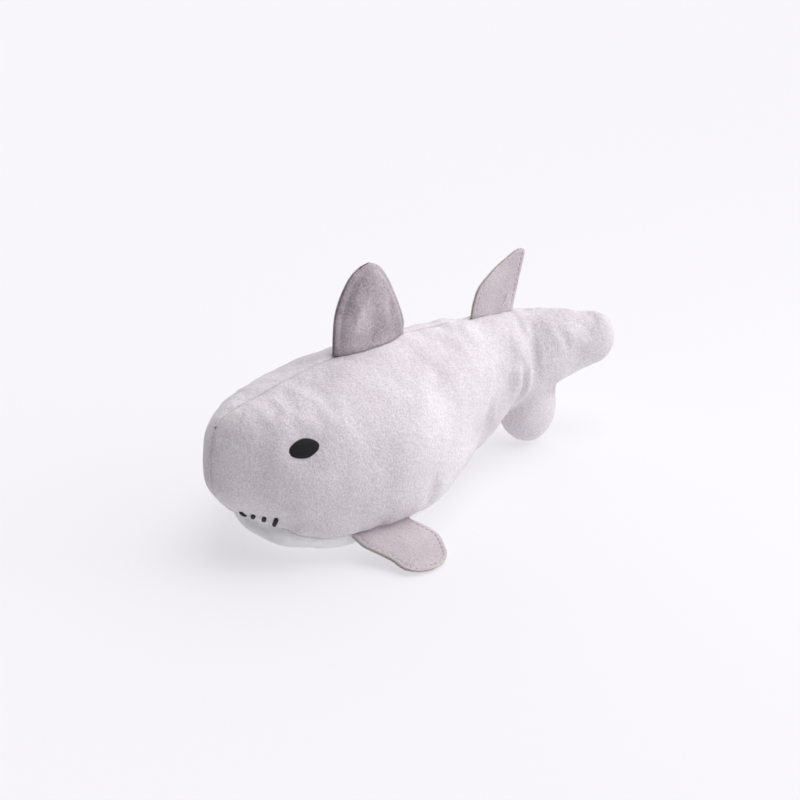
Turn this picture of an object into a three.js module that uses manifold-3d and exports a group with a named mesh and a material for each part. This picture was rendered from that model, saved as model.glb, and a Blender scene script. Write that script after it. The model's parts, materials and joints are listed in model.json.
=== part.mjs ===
// A stuffed plush shark, lying on its belly. Millimetres, +X to the nose, +Y to its left, +Z up.
// The origin is the middle of the bottom of its bounding box.
import * as THREE from 'three';
import { mergeVertices } from 'three/addons/utils/BufferGeometryUtils.js';
import Module from 'manifold-3d';

const wasm = await Module();
wasm.setup();

const radians = THREE.MathUtils.degToRad;
const clamp = THREE.MathUtils.clamp;

// Driving dimensions.
const NOSE_X = 114;              // the most forward point of the head
const TAIL_END = 231;            // distance behind the nose of the end of the upper lobe, unbent
const TAIL_BEND = 20;            // degrees that the tail lies bent to the left at rest
const SWAY_LEFT = 30;            // degrees that the tail bends further to the left
const SWAY_RIGHT = 45;           // degrees that the tail bends to the right from rest
const JOINT_LOW = 164;           // distance behind the nose where the tail's bend line meets the floor
const JOINT_LEAN = 0.25;         // how far the bend line leans back for each millimetre of height
const CLOTH = 1.2;               // thickness of the plush cloth with its pile
const FIN_CLOTH = 1.1;           // thickness of one layer of a flat fin
const GAP = 0.3;                 // clearance between pieces that touch
const FILL_INSET = CLOTH + 0.5;  // depth of the stuffing under the outer surface
const FRONT_FADE = 16;           // depth over which the shape of the front seam fades out
const TIP_ROUND = 15;            // length over which the upper lobe rounds off
const CUT_SPARE = 3;             // degrees that the cut ends stay apart when the tail is bent furthest
const TAIL_LAP = 6;              // how far the tail's form starts ahead of the bend line before it is cut
const BODY_ROWS = 18;
const SHORT_ROW = 0.1;           // how far the stuffing ends before the last row of the cloth, in rows
const SIDE_COLUMNS = 9;
const BELLY_COLUMNS = 3;         // on each side of the middle
const TAIL_ROWS = 12;
const TAIL_COLUMNS = 11;         // on each side
const FIN_ROWS = 8;
const FIN_COLUMNS = 8;
const FIN_ROOT = 0.4;            // gap between a fin's root line and its inner edge
const FIN_SWELL = 12;            // height over which a padded fin swells to its full thickness
const SWELL_POWER = 0.8;         // under 1, the padding stays full close to the fin's edges
const ROW_POWER = 1.4;           // over 1, the rows of the body lie closer together at the nose
const MIDDLE_LEVEL = 40;         // a level about half-way up the body
const PECTORAL_BEVEL = 1.2;      // rise of a pectoral fin's root edge for each millimetre of cloth
const PAD_CORNERS = 14;          // round an embroidered patch

// Embroidery, laid on the skin: distance back from the nose and degrees down from the top, then sizes.
const EYE = { back: 28.4, angle: 59, length: 12.8, height: 8.4, tilt: 5 };
const MOUTH = { width: 1.8, shortest: 5, longest: 8.5, tilt: -34 };
const STITCHES = [[2.6, 129], [4.6, 131.5], [8.1, 127], [13.2, 120]];
const THREAD_RISE = 0.8;         // height of the embroidery over the cloth
const PAD_TOP = 0.75;            // size of a patch's top against its outline

// Fins stand on a root line: forward and rear edges of the outline against the height over it.
const FRONT_FIN = {
  back: 88, height: 34.8, flare: 4.9, fold: 45,
  front: profile([[0, 19.8], [8, 19.5], [17, 18.2], [25, 14.4], [31, 9.6], [34, 4.2], [34.8, -0.2]]),
  rear: profile([[0, -19.4], [4, -19.8], [11, -17.6], [19, -14], [27.5, -9.4], [33, -4.6], [34.8, -0.2]]),
};
const REAR_FIN = {
  back: 166, height: 28.4, flare: 0, fold: 60,
  front: profile([[0, 15.2], [6, 14.6], [13, 12], [20.4, 3.4], [24.6, -3.8], [27.4, -9.2], [28.4, -12.4]]),
  rear: profile([[0, -11.6], [12, -13.2], [20, -14.6], [26.4, -15.4], [28, -14.4], [28.4, -12.4]]),
};
const PECTORAL = {
  front_back: 46.5, rear_back: 75, clear: 1.1, height: 29.2, flare: 0, droop: 17.2,
  front: profile([[0, 14.6], [6, 13.8], [12, 10.4], [18, 7.5], [22, 6.8], [25.4, 5], [28, 0.4],
    [29.2, -5.2]]),
  rear: profile([[0, -15], [4, -17.2], [8, -19.2], [13, -20.4], [20, -18.4], [25, -15.6], [28, -10.8],
    [29.2, -5.2]]),
};
const LOWER_LOBE = { back: 184, level: 19.5, long: 15, thick: 10, deep: 19.4, lean: 12 };

const PLUSH_GREY = 0xcfc6cd;
const FIN_GREY = 0xb7adb3;
const BELLY_WHITE = 0xe6e5ea;
const THREAD_BLACK = 0x1c1a1e;
const FIBRE_WHITE = 0xf4f2ee;

// Profiles of the body against the distance behind the front seam, as [distance, value] pairs.
const TOP = profile([[0, 63], [2, 65.4], [6, 67.4], [16, 69.6], [33, 72.2], [50, 74.3], [68, 75.5],
  [88, 75.8], [108, 75.2], [130, 73], [150, 70.2], [172, 67.4], [190, 64.6], [205, 62.2], [218, 59]]);
const BOTTOM = profile([[0, 19], [6, 14.4], [14, 10.2], [24, 5], [36, 0.8], [52, -0.8], [80, -1.8],
  [105, -1], [125, 2.5], [145, 9], [160, 14.5], [172, 18.5], [190, 24], [205, 28.5], [218, 31.5]]);
const WIDTH = profile([[0, 0], [1.5, 5], [4, 9.4], [9, 15], [16, 20.6], [26, 27.8], [38, 34.4],
  [50, 38.6], [66, 41], [82, 41.4], [96, 39.4], [110, 35.2], [124, 29.6], [138, 24.4], [154, 20],
  [172, 16.8], [190, 14.4], [205, 12.6], [218, 11]]);
const WAIST = profile([[0, 42], [20, 35], [40, 31], [80, 31], [110, 34], [140, 39], [172, 42.5],
  [200, 45.5], [218, 45.5]]);
// The superellipse powers of the upper and lower half of each section.
const TOP_SQUARE = profile([[0, 2.7], [10, 2.5], [30, 2.15], [50, 2], [218, 2]]);
const LOW_SQUARE = profile([[0, 2.7], [16, 2.8], [36, 3], [60, 3.1], [90, 2.7], [130, 2.2], [172, 2],
  [218, 2]]);
// How far each level of the front seam lies behind the most forward one, as [level, distance] pairs.
const FRONT = profile([[15, 20], [19, 14.9], [23, 10], [27.3, 5.8], [31.5, 2.6], [36.2, 0.5], [41, 0],
  [50, 0.2], [56, 1], [61, 2.4], [65.4, 4]]);
// The angle of the seam between side and belly, in degrees from the top of each section.
const BELLY_SEAM = profile([[0, 180], [3, 166], [6.5, 155], [10, 146], [13.5, 138.5], [18, 130.5],
  [22, 127], [28, 124], [36, 122], [48, 119.5], [78, 122], [94, 130], [110, 143], [124, 159], [136, 180]]);

// A smooth function through control points, with Catmull-Rom slopes.
function profile(points) {
  const last = points.length - 1;
  return (at) => {
    let k = 0;
    while (k < last - 1 && at > points[k + 1][0]) k += 1;
    const [x0, y0] = points[Math.max(k - 1, 0)];
    const [x1, y1] = points[k];
    const [x2, y2] = points[k + 1];
    const [x3, y3] = points[Math.min(k + 2, last)];
    const span = x2 - x1;
    const t = clamp((at - x1) / span, 0, 1);
    const slope1 = (y2 - y0) / (x2 - x0) * span;
    const slope2 = (y3 - y1) / (x3 - x1) * span;
    const cube = 2 * y1 - 2 * y2 + slope1 + slope2;
    const square = 3 * y2 - 3 * y1 - 2 * slope1 - slope2;
    return ((cube * t + square) * t + slope1) * t + y1;
  };
}

// A closed solid from points and triangles: shared corners merged, faces turned outward.
function solid(points, triangles) {
  const loose = new THREE.BufferGeometry();
  loose.setAttribute('position', new THREE.Float32BufferAttribute(points.flatMap((p) => [...p]), 3));
  loose.setIndex(triangles.flat());
  const merged = mergeVertices(loose, 1e-3);
  const index = [...merged.index.array];
  const position = merged.attributes.position;
  const corners = [new THREE.Vector3(), new THREE.Vector3(), new THREE.Vector3()];
  const kept = [];
  let volume = 0;
  for (let k = 0; k < index.length; k += 3) {
    const face = index.slice(k, k + 3);
    if (new Set(face).size < 3) continue;
    face.forEach((vertex, corner) => corners[corner].fromBufferAttribute(position, vertex));
    volume += corners[0].dot(corners[1].cross(corners[2]));
    kept.push(face);
  }
  merged.setIndex(kept.flatMap((face) => (volume > 0 ? face : [face[0], face[2], face[1]])));
  return merged;
}

// Triangles between rows of points that follow each other; start is the number of the first point.
// Mirrored rows turn their diagonals over in the second half.
function gridFaces(rows, columns, start, closed, mirrored) {
  const faces = [];
  const wrap = closed ? columns : columns - 1;
  for (let i = 0; i < rows - 1; i += 1) {
    for (let j = 0; j < wrap; j += 1) {
      const a = start + i * columns + j;
      const b = start + i * columns + (j + 1) % columns;
      const turned = mirrored && j >= (columns - 1) / 2;
      const [c, d] = turned ? [b + columns, a] : [a + columns, b];
      faces.push([a, b, c], [d, b + columns, a + columns]);
    }
  }
  return faces;
}

// A sheet of cloth: an outer and an inner grid of points, joined round their edges.
function sheet(outer, inner, mirrored = false) {
  const rows = outer.length;
  const columns = outer[0].length;
  const count = rows * columns;
  const faces = gridFaces(rows, columns, 0, false, mirrored);
  gridFaces(rows, columns, count, false, mirrored).forEach(([a, b, c]) => faces.push([a, c, b]));
  const edge = [];
  for (let j = 0; j < columns - 1; j += 1) edge.push(j);
  for (let i = 0; i < rows - 1; i += 1) edge.push(i * columns + columns - 1);
  for (let j = columns - 1; j > 0; j -= 1) edge.push((rows - 1) * columns + j);
  for (let i = rows - 1; i > 0; i -= 1) edge.push(i * columns);
  edge.forEach((a, k) => {
    const b = edge[(k + 1) % edge.length];
    faces.push([b, a, a + count], [b, a + count, b + count]);
  });
  return solid([...outer.flat(), ...inner.flat()], faces);
}

// A closed form through rings of points, with a point to close each end.
function loft(rings, first, last) {
  const columns = rings[0].length;
  const points = [...rings.flat(), first, last];
  const faces = gridFaces(rings.length, columns, 0, true, true);
  const end = (rings.length - 1) * columns;
  for (let j = 0; j < columns; j += 1) {
    const next = (j + 1) % columns;
    faces.push([next, j, points.length - 2], [end + j, end + next, points.length - 1]);
  }
  return solid(points, faces);
}

function toManifold(geometry) {
  const bare = geometry.clone();
  bare.deleteAttribute('normal');
  bare.deleteAttribute('uv');
  const merged = mergeVertices(bare, 1e-3);
  return new wasm.Manifold(new wasm.Mesh({
    numProp: 3,
    vertProperties: new Float32Array(merged.attributes.position.array),
    triVerts: new Uint32Array(merged.index.array),
  }));
}

function fromManifold(body) {
  const mesh = body.getMesh();
  const geometry = new THREE.BufferGeometry();
  geometry.setAttribute('position', new THREE.BufferAttribute(mesh.vertProperties, 3));
  geometry.setIndex(new THREE.BufferAttribute(mesh.triVerts, 1));
  return geometry;
}

function piece(name, geometry, color, roughness) {
  const material = new THREE.MeshStandardMaterial({ color, roughness, metalness: 0 });
  const mesh = new THREE.Mesh(geometry, material);
  mesh.name = name;
  return mesh;
}

// The distance behind the nose of the tail's bend line at a level.
const jointBack = (level) => JOINT_LOW + JOINT_LEAN * level;

// How far each part is cut back from the bend line, for each millimetre away from the middle.
const cutBack = (side) => {
  const closing = side > 0 ? SWAY_LEFT + TAIL_BEND : SWAY_RIGHT - TAIL_BEND;
  return Math.tan(radians((closing + CUT_SPARE) / 2));
};

// A point of the outer skin: back is the distance behind the front seam, angle runs down from the top.
function skin(back, angle, side = 1, inset = 0) {
  const round = clamp((back - TAIL_END + inset + TIP_ROUND) / TIP_ROUND, 0, 1);
  const tip = Math.sqrt(1 - round ** 2);
  const upper = angle < Math.PI / 2;
  const power = 2 / (upper ? TOP_SQUARE(back) : LOW_SQUARE(back));
  const waist = WAIST(back);
  const rise = upper ? TOP(back) - waist : BOTTOM(back) - waist;
  const reach = Math.abs(rise) - inset;
  const z = waist + Math.sign(rise) * reach * tip * Math.abs(Math.cos(angle)) ** power;
  const y = side * (WIDTH(back) - inset) * tip * Math.abs(Math.sin(angle)) ** power;
  const front = FRONT(z) * Math.exp(-((back / FRONT_FADE) ** 2));
  return new THREE.Vector3(NOSE_X - back - front, y, z);
}

// The outward direction of the skin.
function outward(back, angle, side) {
  const step = 0.05;
  const low = Math.max(angle - step, 0.001);
  const high = Math.min(angle + step, Math.PI - 0.001);
  const along = skin(back + step, angle, side).sub(skin(Math.max(back - step, 0), angle, side));
  const around = skin(back, high, side).sub(skin(back, low, side));
  return around.cross(along).multiplyScalar(side).normalize();
}

// A point at a depth under the skin, kept on its side of the middle and clear of the floor.
function layer(back, angle, side, depth, middle = 0) {
  const point = skin(back, angle, side).addScaledVector(outward(back, angle, side), -depth);
  point.y = side * Math.max(side * point.y, middle);
  point.z = Math.max(point.z, depth);
  return point;
}

// The distance behind the nose of a row of the body, whose last row is cut back at the bend line.
function bodyRow(row, angle, side) {
  const nominal = skin(jointBack(MIDDLE_LEVEL), angle, side);
  const end = jointBack(nominal.z) - GAP - Math.abs(nominal.y) * cutBack(side);
  return end * (row / BODY_ROWS) ** ROW_POWER;
}

const bellySeam = (row) => radians(BELLY_SEAM(bodyRow(row, 2, 1)));

function sideAngle(row, column) {
  return (bellySeam(row) - radians(GAP)) * column / SIDE_COLUMNS;
}

// Columns of the belly run from the seam on the left through the middle to the seam on the right.
function bellyAngle(row, column) {
  const seam = Math.min(bellySeam(row) + radians(GAP), Math.PI);
  return seam + (Math.PI - seam) * (1 - Math.abs(column) / BELLY_COLUMNS);
}

const range = (first, last) => Array.from({ length: last - first + 1 }, (_, k) => first + k);

function sidePanel(side) {
  const grid = (depth) => range(0, BODY_ROWS).map((row) => range(0, SIDE_COLUMNS).map((column) => {
    const angle = sideAngle(row, column);
    return layer(bodyRow(row, angle, side), angle, side, depth, GAP / 2);
  }));
  return sheet(grid(0), grid(CLOTH));
}

const bellyLast = range(1, BODY_ROWS).find((row) => bellySeam(row) > Math.PI - 0.01);

function bellyPanel() {
  const columns = range(-BELLY_COLUMNS, BELLY_COLUMNS);
  const grid = (depth) => range(0, bellyLast).map((row) => columns.map((column) => {
    const angle = bellyAngle(row, column);
    const side = column < 0 ? 1 : -1;
    return layer(bodyRow(row, angle, side), angle, side, depth);
  }));
  return sheet(grid(0), grid(CLOTH), true);
}

function bodyStuffing() {
  const half = (row, side) => {
    const sides = range(0, SIDE_COLUMNS).map((column) => sideAngle(row, column));
    const belly = range(-BELLY_COLUMNS, 0).map((column) => bellyAngle(row, column));
    const angles = [...sides, ...belly];
    return angles.map((angle) => layer(bodyRow(row, angle, side), angle, side, FILL_INSET));
  };
  const rows = [...range(2, BODY_ROWS - 1), BODY_ROWS - SHORT_ROW];
  const rings = rows.map((row) => [...half(row, 1), ...half(row, -1).reverse()]);
  const middle = (ring) => ring[0].clone().lerp(ring[SIDE_COLUMNS + BELLY_COLUMNS + 1], 0.5);
  return loft(rings, middle(rings[0]), middle(rings[rings.length - 1]));
}

// The tail turns about its bend line, in a frame of its own with the line as its Z axis.
const tailLean = Math.atan(JOINT_LEAN);
const tailOrigin = new THREE.Vector3(NOSE_X - JOINT_LOW, 0, 0);
const intoTail = new THREE.Matrix4().makeTranslation(tailOrigin)
  .multiply(new THREE.Matrix4().makeRotationY(-tailLean)).invert();

// The room that the tail may fill behind its bend line.
function tailRoom() {
  const far = TAIL_END;
  const outline = new THREE.Shape([
    new THREE.Vector2(-GAP / 2, 0),
    new THREE.Vector2(-GAP / 2 - far * cutBack(1), far),
    new THREE.Vector2(-far, far),
    new THREE.Vector2(-far, -far),
    new THREE.Vector2(-GAP / 2 - far * cutBack(-1), -far),
  ]);
  const room = new THREE.ExtrudeGeometry(outline, { depth: 2 * far, bevelEnabled: false });
  return toManifold(room.translate(0, 0, -far));
}

// The upper lobe and the root of the tail.
function tailLoft(inset) {
  const angles = range(0, 2 * TAIL_COLUMNS - 1).map((column) => Math.PI * column / TAIL_COLUMNS);
  const start = jointBack(0) - TAIL_LAP;
  const rings = range(0, TAIL_ROWS - 1).map((row) => angles.map((turn) => {
    const side = turn < Math.PI ? 1 : -1;
    const angle = turn < Math.PI ? turn : 2 * Math.PI - turn;
    const back = start + (TAIL_END - inset - start) * Math.sin(Math.PI / 2 * row / TAIL_ROWS);
    return skin(back, angle, side, inset);
  }));
  const first = rings[0][0].clone().lerp(rings[0][TAIL_COLUMNS], 0.5);
  return loft(rings, first, skin(TAIL_END - inset, 0, 1, inset));
}

function lowerLobe(inset) {
  const ball = new THREE.SphereGeometry(1, 20, 12);
  ball.scale(LOWER_LOBE.long - inset, LOWER_LOBE.thick - inset, LOWER_LOBE.deep - inset);
  ball.rotateY(radians(LOWER_LOBE.lean));
  return ball.translate(NOSE_X - LOWER_LOBE.back, 0, LOWER_LOBE.level);
}

function tailSolid(inset) {
  const [upper, lower] = [tailLoft(inset), lowerLobe(inset)];
  return toManifold(upper.applyMatrix4(intoTail)).add(toManifold(lower.applyMatrix4(intoTail)));
}

function tailPanel(side) {
  const shell = tailSolid(0).subtract(tailSolid(CLOTH)).intersect(tailRoom());
  const half = new THREE.BoxGeometry(2 * TAIL_END, TAIL_END, 2 * TAIL_END);
  half.translate(0, side * (TAIL_END + GAP) / 2, 0);
  return fromManifold(shell.intersect(toManifold(half)));
}

const tailStuffing = () => fromManifold(tailSolid(FILL_INSET).intersect(tailRoom()));

// A point on a fin's face, in the fin's frame: X along the root, Y through the fin, Z away from the root.
function finPoint(fin, height, column, side, spread) {
  const across = column / FIN_COLUMNS;
  const swell = Math.min(1, height / FIN_SWELL) * Math.sin(Math.PI * across) ** SWELL_POWER;
  const thin = Math.sqrt(Math.max(1 - (height / fin.height) ** 4, 0));
  const x = THREE.MathUtils.lerp(fin.front(height), fin.rear(height), across);
  return new THREE.Vector3(x, side * Math.max(fin.flare * swell * thin + spread, GAP / 2), height);
}

// The height of a row of a fin whose first row lies at the given root.
const finHeight = (fin, row, root) => root + (fin.height - root) * Math.sin(Math.PI / 2 * row / FIN_ROWS);

// One cloth layer of a fin. Its root edge is bevelled, which clears the body when the fin folds over.
function finLayer(fin, side, bevel) {
  const grid = (root, spread) => range(0, FIN_ROWS).map((row) => range(0, FIN_COLUMNS)
    .map((column) => finPoint(fin, finHeight(fin, row, root), column, side, spread)));
  return sheet(grid(bevel, GAP / 2 + FIN_CLOTH), grid(FIN_ROOT, GAP / 2));
}

// The fibre inside a padded fin: the room between its layers, a little smaller all round.
function finFilling(fin) {
  const half = (row, side) => range(1, FIN_COLUMNS - 1)
    .map((column) => finPoint(fin, finHeight(fin, row, FIN_ROOT), column, side, -GAP));
  const rings = range(1, FIN_ROWS - 1).map((row) => [...half(row, 1), ...half(row, -1).reverse()]);
  const middle = (ring) => ring.reduce((sum, point) => sum.add(point), new THREE.Vector3())
    .divideScalar(ring.length);
  return loft(rings, middle(rings[0]), middle(rings[rings.length - 1]));
}

// A point on or over the skin, a few millimetres forward and up along it from a place on it.
function overSkin(back, angle, side, forward, up, rise) {
  const step = 0.01;
  const here = skin(back, angle, side);
  const normal = outward(back, angle, side);
  const perBack = skin(back + step, angle, side).sub(here).divideScalar(step);
  const perAngle = skin(back, angle + step, side).sub(here).divideScalar(step);
  const ahead = new THREE.Vector3(1, 0, 0).projectOnPlane(normal).normalize();
  const above = ahead.clone().cross(normal).multiplyScalar(side);
  const move = ahead.multiplyScalar(forward).addScaledVector(above, up);
  const area = (a, b) => a.clone().cross(b).dot(normal);
  const whole = area(perBack, perAngle);
  const [moreBack, moreAngle] = [area(move, perAngle) / whole, area(perBack, move) / whole];
  return layer(back + moreBack, angle + moreAngle, side, -rise, GAP / 2);
}

// A rounded pad of satin stitch lying on the skin.
function satinPad(back, angle, side, length, height, tilt) {
  const [c, s] = [Math.cos(radians(tilt)), Math.sin(radians(tilt))];
  const outline = (scale, rise) => range(0, PAD_CORNERS - 1).map((corner) => {
    const turn = 2 * Math.PI * corner / PAD_CORNERS;
    const [forward, up] = [length / 2 * scale * Math.cos(turn), height / 2 * scale * Math.sin(turn)];
    return overSkin(back, angle, side, forward * c - up * s, forward * s + up * c, rise);
  });
  const top = GAP + THREAD_RISE;
  const rings = [outline(1, GAP), outline(1, GAP + THREAD_RISE / 2), outline(PAD_TOP, top)];
  return loft(rings, overSkin(back, angle, side, 0, 0, GAP), overSkin(back, angle, side, 0, 0, top));
}

// The bars of the mouth grow longer away from the nose.
function mouthStitch(number, side) {
  const [back, angle] = STITCHES[number];
  const share = number / (STITCHES.length - 1);
  const height = THREE.MathUtils.lerp(MOUTH.shortest, MOUTH.longest, share);
  return satinPad(back, radians(angle), side, MOUTH.width, height, MOUTH.tilt);
}

const object = new THREE.Group();
object.add(piece('left_side_panel', sidePanel(1), PLUSH_GREY, 0.95));
object.add(piece('right_side_panel', sidePanel(-1), PLUSH_GREY, 0.95));
object.add(piece('belly_panel', bellyPanel(), BELLY_WHITE, 0.95));
object.add(piece('body_stuffing', bodyStuffing(), FIBRE_WHITE, 1));

const tail = new THREE.Group();
tail.position.copy(tailOrigin);
tail.rotation.set(0, -tailLean, -radians(TAIL_BEND), 'YZX');
tail.add(piece('left_tail_panel', tailPanel(1), PLUSH_GREY, 0.95));
tail.add(piece('right_tail_panel', tailPanel(-1), PLUSH_GREY, 0.95));
tail.add(piece('tail_stuffing', tailStuffing(), FIBRE_WHITE, 1));
object.add(tail);

// A frame on the top of the back, with X along the back's slope.
function ridgeFrame(fin) {
  const [front, rear] = [fin.back - fin.front(0), fin.back - fin.rear(0)];
  const [start, end] = [skin(front, 0), skin(rear, 0)];
  const frame = new THREE.Group();
  const slope = Math.atan2(start.z - end.z, start.x - end.x);
  const middle = skin(fin.back, 0);
  frame.position.set(middle.x, 0, middle.z + GAP);
  frame.rotation.y = -slope;
  return frame;
}

const frontFin = ridgeFrame(FRONT_FIN);
const frontBevel = FIN_ROOT + FIN_CLOTH * Math.tan(radians(FRONT_FIN.fold));
frontFin.add(piece('front_dorsal_fin_left_face', finLayer(FRONT_FIN, 1, frontBevel), FIN_GREY, 0.95));
frontFin.add(piece('front_dorsal_fin_right_face', finLayer(FRONT_FIN, -1, frontBevel), FIN_GREY, 0.95));
frontFin.add(piece('front_dorsal_fin_filling', finFilling(FRONT_FIN), FIBRE_WHITE, 1));
object.add(frontFin);

const rearFin = ridgeFrame(REAR_FIN);
const rearBevel = FIN_ROOT + FIN_CLOTH * Math.tan(radians(REAR_FIN.fold));
rearFin.add(piece('rear_dorsal_fin_left_layer', finLayer(REAR_FIN, 1, rearBevel), FIN_GREY, 0.95));
rearFin.add(piece('rear_dorsal_fin_right_layer', finLayer(REAR_FIN, -1, rearBevel), FIN_GREY, 0.95));
object.add(rearFin);

// Each pectoral fin is sewn into the seam between side and belly.
for (const [name, side] of [['left', 1], ['right', -1]]) {
  const rootPoint = (back) => {
    const angle = radians(BELLY_SEAM(back));
    return layer(back, angle, side, -PECTORAL.clear);
  };
  const [start, end] = [rootPoint(PECTORAL.front_back), rootPoint(PECTORAL.rear_back)];
  const along = start.clone().sub(end).normalize();
  const droop = radians(PECTORAL.droop);
  const drop = new THREE.Vector3(0, side * Math.cos(droop), -Math.sin(droop));
  const through = drop.clone().cross(along).normalize();
  const away = along.clone().cross(through).normalize();
  const fin = new THREE.Group();
  fin.position.copy(start.clone().lerp(end, 0.5));
  fin.setRotationFromMatrix(new THREE.Matrix4().makeBasis(along, through, away));
  const bevel = FIN_ROOT + FIN_CLOTH * PECTORAL_BEVEL;
  fin.add(piece(`${name}_pectoral_fin_upper_layer`, finLayer(PECTORAL, -side, bevel), FIN_GREY, 0.9));
  fin.add(piece(`${name}_pectoral_fin_lower_layer`, finLayer(PECTORAL, side, bevel), FIN_GREY, 0.9));
  object.add(fin);

  const eye = satinPad(EYE.back, radians(EYE.angle), side, EYE.length, EYE.height, EYE.tilt);
  object.add(piece(`${name}_eye`, eye, THREAD_BLACK, 0.6));
  STITCHES.forEach((place, number) => {
    object.add(piece(`${name}_mouth_stitch_${number + 1}`, mouthStitch(number, side), THREAD_BLACK, 0.6));
  });
}

export default object;
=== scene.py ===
# A small plush shark lying on its belly: sewn cloth panels over fibre, embroidered eyes and mouth.
# Shapes are worked out in millimetres, in the row frame, and made into meshes in metres.
import json
import math

import bpy
import numpy as np
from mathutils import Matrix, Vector, noise
from mathutils.kdtree import KDTree


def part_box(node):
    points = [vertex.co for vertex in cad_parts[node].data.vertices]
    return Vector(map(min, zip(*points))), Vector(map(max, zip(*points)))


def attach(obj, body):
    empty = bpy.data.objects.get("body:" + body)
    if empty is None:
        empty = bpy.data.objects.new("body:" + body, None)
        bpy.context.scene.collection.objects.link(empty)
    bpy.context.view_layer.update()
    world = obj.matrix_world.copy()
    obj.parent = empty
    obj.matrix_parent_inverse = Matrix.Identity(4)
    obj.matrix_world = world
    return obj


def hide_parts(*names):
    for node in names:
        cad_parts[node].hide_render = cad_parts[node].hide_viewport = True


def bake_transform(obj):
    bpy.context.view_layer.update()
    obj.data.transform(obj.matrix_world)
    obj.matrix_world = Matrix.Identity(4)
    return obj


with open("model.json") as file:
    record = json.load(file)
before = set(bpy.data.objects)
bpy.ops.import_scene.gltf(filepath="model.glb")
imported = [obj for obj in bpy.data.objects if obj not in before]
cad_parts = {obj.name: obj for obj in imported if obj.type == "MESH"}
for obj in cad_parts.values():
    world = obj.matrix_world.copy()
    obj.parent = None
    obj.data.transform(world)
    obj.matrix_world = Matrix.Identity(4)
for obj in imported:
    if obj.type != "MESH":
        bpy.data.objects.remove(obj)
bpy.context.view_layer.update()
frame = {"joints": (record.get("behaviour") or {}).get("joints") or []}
joints = {joint["name"]: joint for joint in frame["joints"]}

MM = 0.001
SIDES = ((1, "left"), (-1, "right"))

# Driving dimensions, in millimetres and degrees.
NOSE_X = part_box("left_side_panel")[1].x / MM   # the most forward point of the head
TAIL_END = 231            # distance behind the nose of the end of the upper lobe, unbent
TAIL_BEND = 20            # degrees that the tail lies bent to the left at rest
TIP_ROUND = 15            # length over which the upper lobe rounds off
FRONT_FADE = 16           # depth over which the shape of the front seam fades out
BEND_AHEAD = 13           # the cloth bends from here ahead of the tail's bend line
BEND_BEHIND = 15          # to here behind it
BELLY_END = 136           # where the belly panel ends in a point
SIDE_COLUMNS = 44         # columns of the cloth on each side
BELLY_COLUMNS = 13        # and on each half of the belly
ROW_END = 0.02            # how far the first and last rows stay off the ends of the form
SEAM_WIDTH = 1.25         # half width of the groove at a seam
ALLOWANCE = 2.4           # how deep the cloth turns in at a seam
MEETING = 0.03            # how close to the middle the two sides meet
FLOOR_SOFT = 1.1          # how softly the cloth flattens on the floor
EYE = {"back": 28.4, "angle": 59, "length": 12.8, "height": 8.4, "tilt": 5}
BAR_WIDTH = 1.7           # width of one bar of the mouth
# The bars of the mouth, as (distance back, degrees from the top, length, tilt).
BARS = ((1.99, 136.6, 6.2, -56), (3.9, 138, 8.6, -35), (7.5, 132, 9.6, -38), (12.6, 125.5, 10.2, -35))
MOUTH = (8.5, 126)        # distance back and degrees from the top of the middle of the mouth
THREAD = 0.46             # thickness of the embroidery thread
THREAD_PITCH = 0.86       # spacing of the threads, in their thickness
FIN_CLOTH = 0.85          # thickness of one layer of a flat fin
FACE_CLOTH = 0.6          # thickness of one face of the front fin
FIN_GAP = 0.12            # half the gap between the two layers of a flat fin
HEM = 2.1                 # how far inside its edge a flat fin is sewn
HEM_WIDTH = 0.55          # half width of the groove that this leaves
STITCH = {"radius": 0.2, "length": 1.5, "gap": 0.9}
FIBRE_DEPTH = 4.2         # how far the stuffing lies under the form
LOBE = {"back": 184, "level": 19.5, "long": 15, "thick": 10, "deep": 19.4, "lean": 12}
LOBE_START = 150          # ahead of this distance the section is a plain one
LOBE_FILLET = 70          # how roundly the lower lobe grows out of the tail


class Profile:
    """A smooth curve through control points, with Catmull-Rom slopes, level beyond its ends."""

    def __init__(self, *points):
        self.x, self.y = np.array(points, float).T

    def __call__(self, at):
        x, y = self.x, self.y
        at = np.clip(np.asarray(at, float), x[0], x[-1])
        k = np.clip(np.searchsorted(x, at, side="right") - 1, 0, len(x) - 2)
        before, after = np.maximum(k - 1, 0), np.minimum(k + 2, len(x) - 1)
        span = x[k + 1] - x[k]
        t = (at - x[k]) / span
        start, end = y[k], y[k + 1]
        slope_1 = (end - y[before]) / (x[k + 1] - x[before]) * span
        slope_2 = (y[after] - start) / (x[after] - x[k]) * span
        cube = 2 * start - 2 * end + slope_1 + slope_2
        square = 3 * end - 3 * start - 2 * slope_1 - slope_2
        return ((cube * t + square) * t + slope_1) * t + start


# The body against the distance behind the front seam.
TOP = Profile((0, 63), (2, 65.4), (6, 67.4), (16, 69.6), (33, 72.2), (50, 74.3), (68, 75.5), (88, 75.8),
              (108, 75.2), (130, 73), (150, 70.2), (172, 67.4), (190, 64.6), (205, 62.2), (218, 59))
BOTTOM = Profile((0, 19), (6, 14.4), (14, 10.2), (24, 5), (36, 0.8), (52, -0.8), (80, -1.8), (105, -1),
                 (125, 2.5), (145, 9), (160, 14.5), (172, 18.5), (190, 24), (205, 28.5), (218, 31.5))
WIDTH = Profile((0, 0), (1.5, 5), (4, 9.4), (9, 15), (16, 20.6), (26, 27.8), (38, 34.4), (50, 38.6),
                (66, 41), (82, 41.4), (96, 39.4), (110, 35.2), (124, 29.6), (138, 24.4), (154, 20),
                (172, 16.8), (190, 14.4), (205, 12.6), (218, 11))
WAIST = Profile((0, 42), (20, 35), (40, 31), (80, 31), (110, 34), (140, 39), (172, 42.5), (200, 45.5),
                (218, 45.5))
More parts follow.
